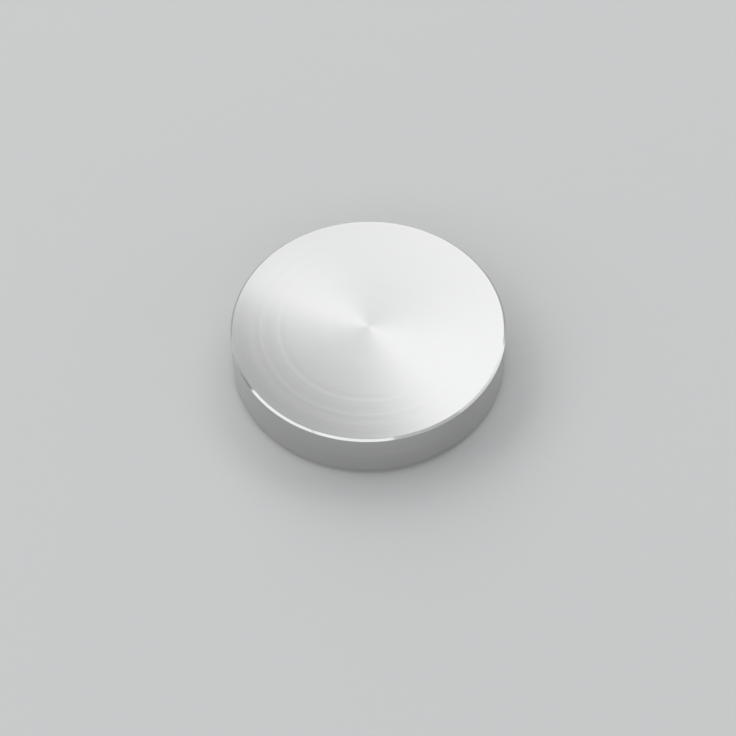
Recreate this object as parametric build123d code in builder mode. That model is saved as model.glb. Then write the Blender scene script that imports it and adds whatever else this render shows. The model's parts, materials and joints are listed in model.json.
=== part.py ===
from build123d import *

import os
from math import isclose, radians, tan

# A record weight: one steel puck turned from bar, with a closed face on top and a socket underneath
# for the turntable's spindle. All sizes are in millimetres. The origin is the middle of the plane
# that the puck stands on, and +Z points up through the closed face.

# Outside of the puck
body_diameter = 78.0
total_height = 16.5
edge_break = 0.6  # 45 degree bevel round the top edge and round the lower edge of the wall

# Foot: a low step, set back under the wall, that carries the wall's lower edge clear of the record
foot_height = 1.0
foot_set_back = 2.0
foot_edge_break = 0.3

# Underside: the puck bears on a flat ring, and the middle is turned back from it
bearing_width = 9.0
relief_depth = 0.8
tool_nose_radius = 0.3  # left by the turning tool in the two inside corners

# Socket for the spindle: drilled from below and blind, so that the top stays closed
spindle_diameter = 7.15
spindle_clearance = 0.25  # on the diameter
lead_in = 0.8  # 45 degree countersink at the mouth
drill_point_angle = 118.0
crown = 2.3  # metal left between the drill point and the top face

body_radius = body_diameter / 2
foot_radius = body_radius - foot_set_back
bearing_inner_radius = foot_radius - bearing_width
socket_radius = (spindle_diameter + spindle_clearance) / 2
socket_tip = total_height - crown
socket_end = socket_tip - socket_radius / tan(radians(drill_point_angle / 2))

os.makedirs("parts", exist_ok=True)

with BuildPart() as weight_body:
    # Half of the turned section: over the top, down the wall, round the foot and up into the socket
    with BuildSketch(Plane.XZ):
        with BuildLine():
            Polyline(
                (0, total_height),
                (body_radius, total_height),
                (body_radius, foot_height),
                (foot_radius, foot_height),
                (foot_radius, 0),
                (bearing_inner_radius, 0),
                (bearing_inner_radius, relief_depth),
                (socket_radius, relief_depth),
                (socket_radius, socket_end),
                (0, socket_tip),
                close=True,
            )
        make_face()
    revolve(axis=Axis.Z)

    def rings(radius):
        """The puck's circular edges of this radius, from the lowest up."""
        circles = weight_body.edges().filter_by(GeomType.CIRCLE)
        return circles.filter_by(lambda edge: isclose(edge.radius, radius)).sort_by(Axis.Z)

    wall_edges = rings(body_radius)
    foot_edge, foot_corner = rings(foot_radius)
    relief_corner = rings(bearing_inner_radius)[-1]
    socket_mouth = rings(socket_radius)[0]

    fillet([foot_corner, relief_corner], radius=tool_nose_radius)
    chamfer(wall_edges, length=edge_break)
    chamfer(foot_edge, length=foot_edge_break)
    chamfer(socket_mouth, length=lead_in)

weight_body.part.label = "weight_body"
export_step(weight_body.part, "parts/weight_body.step")
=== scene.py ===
# %% [markdown]
# A turned record weight. The whole object is one low steel puck from a lathe, so there is little to
# model and much to finish. The lesson makes the puck as one surface of revolution, gives each of its
# faces the marks that the cutting tool left there, and then lights it, because bare metal shows little
# else than the light around it.

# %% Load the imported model
import json

import bpy
import numpy as np
from mathutils import Matrix, Vector


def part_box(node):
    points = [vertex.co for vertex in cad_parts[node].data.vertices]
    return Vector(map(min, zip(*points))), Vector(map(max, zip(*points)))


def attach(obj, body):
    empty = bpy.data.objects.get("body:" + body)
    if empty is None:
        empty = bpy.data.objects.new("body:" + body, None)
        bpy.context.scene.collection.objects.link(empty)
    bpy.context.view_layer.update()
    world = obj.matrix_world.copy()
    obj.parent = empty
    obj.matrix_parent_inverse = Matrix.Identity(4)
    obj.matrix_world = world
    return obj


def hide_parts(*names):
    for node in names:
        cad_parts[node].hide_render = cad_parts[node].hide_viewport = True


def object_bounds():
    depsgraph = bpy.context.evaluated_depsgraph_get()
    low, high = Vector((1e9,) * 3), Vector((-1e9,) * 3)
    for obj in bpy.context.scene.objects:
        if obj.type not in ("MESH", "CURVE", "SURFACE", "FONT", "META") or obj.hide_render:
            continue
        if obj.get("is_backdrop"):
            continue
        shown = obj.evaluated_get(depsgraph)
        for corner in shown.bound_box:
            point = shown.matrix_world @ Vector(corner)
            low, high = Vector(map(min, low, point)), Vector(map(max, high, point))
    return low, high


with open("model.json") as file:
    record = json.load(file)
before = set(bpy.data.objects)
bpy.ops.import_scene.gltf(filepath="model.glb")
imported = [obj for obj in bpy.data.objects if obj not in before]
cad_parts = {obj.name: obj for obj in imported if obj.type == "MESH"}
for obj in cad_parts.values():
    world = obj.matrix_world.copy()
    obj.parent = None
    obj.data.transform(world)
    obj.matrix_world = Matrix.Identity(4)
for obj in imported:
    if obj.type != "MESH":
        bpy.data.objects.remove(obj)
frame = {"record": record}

MM = 0.001
cad_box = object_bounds()
low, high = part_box("weight_body")
print("the packed puck is", [round((b - a) / MM, 2) for a, b in zip(low, high)], "mm")

# %% [markdown]
# The section. A turned piece is described by half of its section: a line that runs from the middle of
# the top, over the bevel, down the wall, round the foot and up into the socket for the spindle. The
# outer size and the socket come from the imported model, and the small steps are written here.
#
# No edge leaves a lathe perfectly sharp, so each corner gets a radius: a tiny one on an outside edge, and
# the nose radius of the tool in an inside corner. A bevel modifier could round a plain mesh, but radii in
# the section give the exact normals as well.

# %% Sizes of the section
socket = next(m for m in frame["record"]["mounts"] if m["name"] == "spindle_socket")
body_radius = high[0]
total_height = high[2]
edge_break = 0.6 * MM
foot_height = 1.0 * MM
foot_set_back = 2.0 * MM
foot_edge_break = 0.3 * MM
bearing_width = 9.0 * MM
relief_depth = 0.8 * MM
lead_in = 0.8 * MM
drill_point_angle = 118.0
edge = 0.06 * MM
nose = 0.3 * MM

foot_radius = body_radius - foot_set_back
bearing_inner_radius = foot_radius - bearing_width
socket_radius = socket["dims"]["r_mm"] * MM
socket_end = relief_depth + lead_in + socket["dims"]["length_mm"] * MM
socket_tip = socket_end + socket_radius / np.tan(np.radians(drill_point_angle / 2))

# Each corner: distance from the axis, height, radius of the corner, finish of the run that follows it
corners = [
    (0.0, total_height, 0.0, "faced_top"),
    (body_radius - edge_break, total_height, edge, "bevel_painted_highlight"),
    (body_radius, total_height - edge_break, edge, "turned_wall"),
    (body_radius, foot_height + edge_break, edge, "bevel_painted_highlight"),
    (body_radius - edge_break, foot_height, edge, "faced_base"),
    (foot_radius, foot_height, nose, "faced_base"),
    (foot_radius, foot_edge_break, edge, "faced_base"),
    (foot_radius - foot_edge_break, 0.0, edge, "faced_base"),
    (bearing_inner_radius, 0.0, edge, "faced_base"),
    (bearing_inner_radius, relief_depth, nose, "faced_base"),
    (socket_radius + lead_in, relief_depth, edge, "bevel_painted_highlight"),
    (socket_radius, relief_depth + lead_in, edge, "drilled_socket"),
    (socket_radius, socket_end, edge, "drilled_socket"),
    (0.0, socket_tip, 0.0, ""),
]
print("the section has", len(corners), "corners")

# %% [markdown]
# Tool waves. A cut is never quite flat: the tool gives a little, and each turn leaves the steel about a
# thousandth of a millimetre higher or lower. Nobody sees that height, but its slope bends the reflection,
# and that is why faint rings show where the top passes from light to dark. They are strongest towards the
# rim, where the steel runs past the tool fastest. A bump map could fake them, but as geometry they stay
# in every copy of the mesh. They are a few sine waves along the section, of lengths that don't fit into
# each other, so that the rings come out uneven.

# %% Waves that the tool leaves
wave_lengths = np.array([1.7, 2.6, 4.1, 6.7]) * MM
wave_slopes = np.array([0.0007, 0.0009, 0.0009, 0.0007])
wave_phases = np.array([0.4, 2.1, 4.4, 1.2])
wave_fade = 3.0 * MM
# Where the waves begin on each waved run, measured from the start of the run
wave_starts = {"faced_top": 22.0 * MM, "turned_wall": 0.0}


def tool_waves(distance, start, end):
    """Height and slope at each distance along a run: a sum of sine waves, faded to nothing at both ends.

    A wave of length l and greatest slope s is s l / (2 pi) high. The fade is the smooth step 3t2 - 2t3 of
    the distance to the nearer end, and the slope is the height's own rise from point to point.
    """
    turns = 2 * np.pi * distance[:, None] / wave_lengths + wave_phases
    height = (np.sin(turns) * wave_slopes * wave_lengths / (2 * np.pi)).sum(1)
    t = np.clip(np.minimum(distance - start, end - distance) / wave_fade, 0, 1)
    height = height * (3 * t ** 2 - 2 * t ** 3)
    return height, np.gradient(height, distance)


# %% Rounded section with its normals
ring_steps = {"faced_top": 0.3 * MM, "turned_wall": 0.4 * MM}
plain_ring_step = 1.0 * MM
arc_steps = 5


def rounded_section(corners):
    """Points and outward normals along the section, and the finish of each stretch between two points.

    A corner's arc starts and ends where a circle of its radius touches the two runs, which is at a
    distance of radius times tan(half the turn) from the corner. A run between two arcs is divided
    evenly. The normal is the run's direction turned a quarter to the left, less the slope of the waves.
    """
    points = np.array([c[:2] for c in corners])
    radii = np.array([c[2] for c in corners])
    runs = np.diff(points, axis=0)
    along = runs / np.linalg.norm(runs, axis=1)[:, None]
    left = np.stack([-along[:, 1], along[:, 0]], 1)
    turn = np.arctan2((left[:-1] * along[1:]).sum(1), (along[:-1] * along[1:]).sum(1))
    cut = np.concatenate([[0.0], radii[1:-1] * np.tan(np.abs(turn) / 2), [0.0]])
    out_points, out_normals, finishes = [], [], []
    for i, finish in enumerate(c[3] for c in corners[:-1]):
        start = points[i] + along[i] * cut[i]
        end = points[i + 1] - along[i] * cut[i + 1]
        length = np.linalg.norm(end - start)
        steps = max(2, int(np.ceil(length / ring_steps.get(finish, plain_ring_step))))
        distance = np.linspace(0, length, steps + 1)
        height, slope = tool_waves(distance, wave_starts.get(finish, length), length)
        out_points.append(start + along[i] * distance[:, None] + left[i] * height[:, None])
        out_normals.append(left[i] - along[i] * slope[:, None])
        finishes += [finish] * steps
        if i < len(turn):
            # A turn to the right is an outside edge; its arc gets the lighter bevel steel as a painted
            # highlight, and the middle of its arc lies inside
            side = np.sign(turn[i])
            middle = end + left[i] * side * radii[i + 1]
            angle = turn[i] * np.linspace(0, 1, arc_steps + 1)[1:-1, None]
            normal = left[i] * np.cos(angle) - along[i] * np.sin(angle)
            out_points.append(middle - normal * side * radii[i + 1])
            out_normals.append(normal)
            finishes += ["bevel_painted_highlight" if side < 0 else finish] * arc_steps
    normals = np.concatenate(out_normals)
    return np.concatenate(out_points), normals / np.linalg.norm(normals, axis=1)[:, None], finishes


section, section_normals, section_finish = rounded_section(corners)
print("the rounded section has", len(section), "points")

# %% [markdown]
# The puck. Carrying the section round the axis gives a grid: one parameter runs along the section, the
# other round the circle. Blender's Screw modifier could do that, but not with exact normals and a map of
# our own. Both ends of the section lie on the axis, so each end becomes one point with a fan of triangles.
# The same two parameters make the UV map, which is the surface unrolled: u goes round and v goes along the
# section. The marks of a lathe run along u, so this map tells the finish which way they go.


# %% Points, faces and map of a turned surface
def carried_round(section, columns):
    """Carry each (r, z) of a section round the axis: it becomes (r cos a, r sin a, z) at every angle a."""
    angle = np.arange(columns) * 2 * np.pi / columns
    r, z = section[:, :1], section[:, 1:]
    return np.stack([r * np.cos(angle), r * np.sin(angle), z + 0 * angle], 2).reshape(-1, 3)


def turned_faces(rings, columns):
    """Quads from each ring to the next, and a fan of triangles at each end of the section.

    Point j of ring i has the number i times columns plus j, and the two points on the axis come last.
    """
    this = np.arange(columns)
    after = (this + 1) % columns
    row = np.arange(rings - 1)[:, None] * columns
    quads = np.stack([row + this, row + columns + this, row + columns + after, row + after], 2)
    first_point = np.full(columns, rings * columns)
    last_ring = (rings - 1) * columns
    first_fan = np.stack([first_point, this, after], 1)
    last_fan = np.stack([first_point + 1, last_ring + after, last_ring + this], 1)
    return quads.reshape(-1, 4).tolist() + first_fan.tolist() + last_fan.tolist()


def unrolled(v, columns):
    """The place of each face's corners on the unrolled surface, face by face as turned_faces has them.

    Column j goes from u = j / columns to (j + 1) / columns, and a fan's tip is in the middle of its column.
    """
    u0 = np.arange(columns) / columns
    u1 = u0 + 1 / columns
    v0, v1 = v[1:-2, None], v[2:-1, None]
    middle = (u0 + u1) / 2
    quads = np.stack(np.broadcast_arrays(u0, v0, u0, v1, u1, v1, u1, v0), 2)
    first_fan = np.stack(np.broadcast_arrays(middle, v[0], u0, v[1], u1, v[1]), 1)
    last_fan = np.stack(np.broadcast_arrays(middle, v[-1], u1, v[-2], u0, v[-2]), 1)
    return np.concatenate([part.reshape(-1, 2) for part in (quads, first_fan, last_fan)])


# %% The puck
columns = 288
uv_name = "OFBake"
rings = len(section) - 2
travelled = np.concatenate([[0], np.cumsum(np.linalg.norm(np.diff(section, axis=0), axis=1))])
section_length = travelled[-1]
axis_points = [(0, 0, total_height), (0, 0, socket_tip)]
axis_normals = [(0, 0, 1), (0, 0, -1)]
points = np.concatenate([carried_round(section[1:-1], columns), axis_points])
normals = np.concatenate([carried_round(section_normals[1:-1], columns), axis_normals])
uv = unrolled(1 - travelled / section_length, columns)

finish_names = list(dict.fromkeys(section_finish))
finish_of_stretch = np.array([finish_names.index(f) for f in section_finish])
finish_of_face = np.repeat(np.concatenate([finish_of_stretch[1:-1], finish_of_stretch[[0, -1]]]), columns)

mesh = bpy.data.meshes.new("turned_puck")
mesh.from_pydata(points.tolist(), [], turned_faces(rings, columns))
mesh.uv_layers.new(name=uv_name).uv.foreach_set("vector", uv.astype(np.float32).ravel())
mesh.polygons.foreach_set("material_index", finish_of_face.astype(np.int32))
mesh.polygons.foreach_set("use_smooth", np.ones(len(finish_of_face), dtype=bool))
mesh.update()
mesh.normals_split_custom_set_from_vertices(normals.tolist())

puck = bpy.data.objects.new("turned_puck", mesh)
scene = bpy.context.scene
scene.collection.objects.link(puck)
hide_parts("weight_body")
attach(puck, "root")
print("the puck has", len(mesh.polygons), "faces and the finishes", ", ".join(finish_names))

# %% [markdown]
# Turned steel. Under a loupe a turned face is a field of fine grooves that all run round the axis. Across
# the grooves the surface is rough and along them it is smooth, so the reflection of a light is smeared
# across them, and on a flat face that makes the bright fans that meet in the middle. The grooves could be
# modelled, but they are finer than a pixel, so the shader takes them over: Principled's anisotropy, with
# a tangent from the UV map, turned by a quarter so that the smear runs along the section.
#
# On top of that come the marks that can be seen. Rings are noise of the distance along the section alone.
# Streaks are noise on a drum, long round the axis and thin along the section, because a groove is not the
# same all the way round. Both change the tone and the roughness a little, and a finer noise of the same
# distance makes a shallow bump.


# %% A material and its nodes
def new_material(name):
    """A material with one Principled shader, and a helper that adds a node and fills its inputs."""
    material = bpy.data.materials.new(name)
    material.use_nodes = True
    tree = material.node_tree

    def add(kind, inputs=None, **settings):
        node = tree.nodes.new(kind)
        for key, value in settings.items():
            setattr(node, key, value)
        for key, value in (inputs or {}).items():
            if isinstance(value, bpy.types.NodeSocket):
                tree.links.new(value, node.inputs[key])
            else:
                node.inputs[key].default_value = value
        return node

    return material, tree, tree.nodes["Principled BSDF"], add


# %% Turned steel
quarter_turn = 0.25
ring_pitch, ring_detail = 2.2, 5.0
streak_length, streak_pitch, streak_detail = 0.5, 0.35, 3.0
mark_detail = 2.0
# Two noises added together lie mostly between these values
marks_low, marks_high = 0.6, 1.4


def turned_steel(name, colour, roughness, anisotropy, mark_pitch, mark_depth, contrast):
    """Bare steel with the marks of a turning tool.

    Pitches and depths are in millimetres, and a streak's length is in radii of the puck. The tone goes up
    and down by the contrast, as a share of the colour, and the roughness by twice that share.
    """
    material, tree, shader, add = new_material(name)
    shader.inputs["Metallic"].default_value = 1.0
    shader.inputs["Anisotropic"].default_value = anisotropy
    shader.inputs["Anisotropic Rotation"].default_value = quarter_turn
    tangent = add("ShaderNodeTangent", direction_type="UV_MAP", uv_map=uv_name)
    tree.links.new(tangent.outputs["Tangent"], shader.inputs["Tangent"])

    uv = add("ShaderNodeUVMap", uv_map=uv_name)
    split = add("ShaderNodeSeparateXYZ", {"Vector": uv.outputs["UV"]})
    distance = add("ShaderNodeMath", {0: split.outputs["Y"], 1: section_length / MM}, operation="MULTIPLY")
    distance = distance.outputs[0]
    rings = add("ShaderNodeTexNoise", {"W": distance, "Scale": 1 / ring_pitch, "Detail": ring_detail},
                noise_dimensions="1D")

    place = add("ShaderNodeTexCoord").outputs["Object"]
    flat = add("ShaderNodeVectorMath", {0: place, 1: (1, 1, 0)}, operation="MULTIPLY")
    around = add("ShaderNodeVectorMath", {0: flat.outputs[0]}, operation="NORMALIZE")
    thin = add("ShaderNodeMath", {0: distance, 1: 1 / streak_pitch}, operation="MULTIPLY")
    upright = add("ShaderNodeCombineXYZ", {"Z": thin.outputs[0]})
    drum = add("ShaderNodeVectorMath",
               {0: around.outputs[0], 1: (1 / streak_length,) * 3, 2: upright.outputs[0]},
               operation="MULTIPLY_ADD")
    streaks = add("ShaderNodeTexNoise", {"Vector": drum.outputs[0], "Scale": 1.0, "Detail": streak_detail})

    both = add("ShaderNodeMath", {0: rings.outputs["Fac"], 1: streaks.outputs["Fac"]}, operation="ADD")
    spread = {"Value": both.outputs[0], "From Min": marks_low, "From Max": marks_high}
    tone = add("ShaderNodeMapRange", {**spread, "To Min": 1 - contrast, "To Max": 1 + contrast})
    tinted = add("ShaderNodeVectorMath", {0: colour, 1: tone.outputs[0]}, operation="MULTIPLY")
    tree.links.new(tinted.outputs[0], shader.inputs["Base Color"])
    duller, smoother = roughness * (1 + 2 * contrast), roughness * (1 - 2 * contrast)
    rough = add("ShaderNodeMapRange", {**spread, "To Min": duller, "To Max": smoother})
    tree.links.new(rough.outputs[0], shader.inputs["Roughness"])

    marks = add("ShaderNodeTexNoise", {"W": distance, "Scale": 1 / mark_pitch, "Detail": mark_detail},
                noise_dimensions="1D")
    bump = add("ShaderNodeBump", {"Height": marks.outputs["Fac"], "Distance": mark_depth * MM})
    tree.links.new(bump.outputs[0], shader.inputs["Normal"])
    return material


# %% [markdown]
# Five finishes of one steel. The top was faced last and finest, so its marks are the faintest. The bevels
# were cut in one pass with a fresh edge, and their steel is a little lighter than the rest as a painted
# highlight. The wall is turned much like the top.
# The underside never shows, so it was faced at a coarser feed and is duller, and the rough marks of a drill
# make the socket duller still; its steel is darker, as painted shade in the bore.

# %% The finishes of the puck
steel = (0.58, 0.58, 0.58)
# A little lighter than steel: a painted highlight on the bevels and the outside edge arcs
painted_highlight_steel = (0.59, 0.59, 0.59)
# Darker than steel: painted shade in the drilled socket
painted_shade_socket_steel = (0.45, 0.45, 0.45)
finishes = {
    "faced_top": turned_steel("faced_top", steel, roughness=0.13, anisotropy=0.87,
                              mark_pitch=0.4, mark_depth=0.0003, contrast=0.008),
    "bevel_painted_highlight": turned_steel("bevel_painted_highlight", painted_highlight_steel, roughness=0.13, anisotropy=0.5,
                                 mark_pitch=0.3, mark_depth=0.0003, contrast=0.015),
    "turned_wall": turned_steel("turned_wall", steel, roughness=0.14, anisotropy=0.85,
                                mark_pitch=0.4, mark_depth=0.0006, contrast=0.03),
    "faced_base": turned_steel("faced_base", steel, roughness=0.28, anisotropy=0.8,
                               mark_pitch=0.5, mark_depth=0.003, contrast=0.04),
    "drilled_socket": turned_steel("drilled_socket", painted_shade_socket_steel, roughness=0.42, anisotropy=0.6,
                                   mark_pitch=0.5, mark_depth=0.006, contrast=0.06),
}
for name in finish_names:
    mesh.materials.append(finishes[name])
print("finishes:", ", ".join(finishes))

# %% [markdown]
# The floor. It is a plain pale disc with a matt paint, large enough that its edge is the horizon. A floor
# does more here than carry the shadow: seen from above, the wall mirrors the floor close in front of it.

# %% Floor
floor_radius = 3.0
floor_sides = 128
floor_colour = (0.76, 0.76, 0.76, 1)
floor_roughness = 0.9
angle = np.arange(floor_sides) * 2 * np.pi / floor_sides
floor_rim = floor_radius * np.stack([np.cos(angle), np.sin(angle), 0 * angle], 1)
floor_mesh = bpy.data.meshes.new("floor")
floor_mesh.from_pydata(floor_rim.tolist(), [], [list(range(floor_sides))])
floor = bpy.data.objects.new("floor", floor_mesh)
scene.collection.objects.link(floor)
floor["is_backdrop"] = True

floor_paint, _, floor_shader, _ = new_material("pale_floor")
floor_shader.inputs["Base Color"].default_value = floor_colour
floor_shader.inputs["Roughness"].default_value = floor_roughness
floor_mesh.materials.append(floor_paint)
print("the floor is", 2 * floor_radius, "m across")

# %% [markdown]
# The room. A plain grey world would make the steel look like grey plastic, because there would be nothing
# to see in it. This world is pale at the horizon, as a white wall is, and darker overhead. The height of a
# direction is the Z of its Generated coordinate, and a smooth step of it sets the strength.

# %% Room light
room_level = 0.28
wall_level = 0.91
wall_height = np.sin(np.radians(20))
room_tint = (0.98, 1.0, 1.02, 1)
world = bpy.data.worlds.new("soft_room")
scene.world = world
world.use_nodes = True
room = world.node_tree
facing = room.nodes.new("ShaderNodeTexCoord")
split = room.nodes.new("ShaderNodeSeparateXYZ")
fade = room.nodes.new("ShaderNodeMapRange")
fade.interpolation_type = "SMOOTHSTEP"
fade.inputs["From Max"].default_value = wall_height
fade.inputs["To Min"].default_value = wall_level
fade.inputs["To Max"].default_value = room_level
room.links.new(facing.outputs["Generated"], split.inputs[0])
room.links.new(split.outputs["Z"], fade.inputs["Value"])
room.links.new(fade.outputs[0], room.nodes["Background"].inputs["Strength"])
room.nodes["Background"].inputs["Color"].default_value = room_tint
print("the room is", wall_level, "at the horizon and", room_level, "overhead")

# %% [markdown]
# Soft panels. In metal a lamp is a shape before it is a brightness, so each panel is put where one face of
# the puck mirrors it. The two at the back lie where the top looks, and make its fans: from the middle,
# the smear reaches both panels along some radii and neither along others. The next five are narrow strips
# that lie end to end where the bevel looks. They draw its bright line, white on the left and fainter on the
# right, and put little light on the floor in front. The top mirrors the last four only for someone who
# stands behind the puck or leans over it. A panel's power follows from how bright it should look: level
# times pi times area.

# %% Panels
panel_distance = 3.0
panel_level = 1.29
dim_level = 0.8
faint_level = 0.5


def panel(name, azimuth, elevation, width, height, roll, level=panel_level):
    """A soft panel that faces the puck. Azimuth 0 is to the right and 90 is behind.

    Its size is what it would be at a distance of one metre, so it says how wide the panel looks. A
    positive roll raises its left end, as seen from the puck. The level is how bright it looks: 1 is white.
    """
    a, e, r = np.radians([azimuth, elevation, roll])
    way = Vector((np.cos(a) * np.cos(e), np.sin(a) * np.cos(e), np.sin(e)))
    across = Vector((0, 0, 1)).cross(way).normalized()
    upward = way.cross(across)
    x = across * np.cos(r) + upward * np.sin(r)
    y = upward * np.cos(r) - across * np.sin(r)
    lamp = bpy.data.lights.new(name, "AREA")
    lamp.shape = "RECTANGLE"
    lamp.size = width * panel_distance
    lamp.size_y = height * panel_distance
    lamp.energy = level * np.pi * lamp.size * lamp.size_y
    obj = bpy.data.objects.new(name, lamp)
    scene.collection.objects.link(obj)
    turned = Matrix((x, y, way)).transposed().to_4x4()
    obj.matrix_world = Matrix.Translation(way * panel_distance) @ turned
    obj.visible_camera = False
    print(name, "is", round(lamp.size, 2), "by", round(lamp.size_y, 2), "m,", round(lamp.energy), "W")


# Each panel: azimuth, elevation, width, height, roll and, where it isn't the full one, level
panel("back_right_panel", 55.0, 52.5, 0.90, 0.50, -16.0)
panel("back_left_panel", 136.0, 43.0, 2.14, 0.63, 19.0)
panel("left_strip", 204.5, 24.4, 0.86, 0.17, 16.0)
panel("front_strip", 258.0, 34.5, 0.87, 0.17, 4.0)
panel("front_right_strip", 312.0, 30.5, 0.82, 0.17, -12.5, faint_level)
panel("right_strip", 353.0, 18.4, 0.62, 0.17, -22.5, dim_level)
panel("low_right_strip", 17.5, 7.0, 0.33, 0.12, -26.0, dim_level)
panel("low_front_panel", 315.0, 14.0, 0.50, 0.12, 0.0, dim_level)
panel("high_left_panel", 239.0, 46.0, 0.30, 0.30, 0.0, dim_level)
panel("high_right_panel", 301.0, 46.0, 0.30, 0.30, 0.0, dim_level)
panel("overhead_strip", 300.0, 89.5, 0.60, 0.09, 0.0, dim_level)

# %% [markdown]
# The camera. It stands where the photo was taken from. Its distance, height, lens and tilt were found by
# fitting the circles of the rim and of the wall's lower edge to the photo. Distance and lens matter as
# much as the height: from close by, the front of a round top looks wider than its back. The last step is
# to pan and tilt by the few pixels that the foot's middle is away from the middle of the picture.

# %% Camera
picture_px = 736
focal_px = 2281.0
sensor_width = 36.0
nearest_seen = 0.01
camera_distance = 659.0 * MM
camera_elevation = np.radians(54.0)
camera_roll = np.radians(-0.98)
origin_px = np.array([0.87, -7.17])

camera = bpy.data.objects.new("camera", bpy.data.cameras.new("camera"))
scene.collection.objects.link(camera)
camera.data.sensor_width = sensor_width
camera.data.lens = focal_px * sensor_width / picture_px
camera.data.clip_start = nearest_seen
place = Vector((0, -np.cos(camera_elevation), np.sin(camera_elevation))) * camera_distance
ahead = -place.normalized()
right = Vector((1, 0, 0))
up = right.cross(ahead)
pan, tilt = np.arctan(origin_px / focal_px)
turn = Matrix.Rotation(pan, 3, up)
ahead, right = turn @ ahead, turn @ right
turn = Matrix.Rotation(tilt, 3, right)
ahead, up = turn @ ahead, turn @ up
roll_right = right * np.cos(camera_roll) + up * np.sin(camera_roll)
roll_up = up * np.cos(camera_roll) - right * np.sin(camera_roll)
axes = Matrix((roll_right, roll_up, -ahead)).transposed().to_4x4()
camera.matrix_world = Matrix.Translation(place) @ axes
scene.camera = camera
scene.view_settings.view_transform = "Standard"
lens = round(camera.data.lens, 1)
print("the camera is", round(camera_distance, 3), "m away, with a lens of", lens, "mm")

# %% [markdown]
# Sizes. Radii and tool waves must not change the size of the puck. So the box round all that is visible is
# measured beside the box of the imported model, and the largest difference is printed.

# %% Sizes on disk
visual_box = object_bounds()
growth = np.abs(np.array([list(c) for c in visual_box]) - np.array([list(c) for c in cad_box])).max()
print("the visible box differs from the packed one by at most", round(growth / MM, 4), "mm")
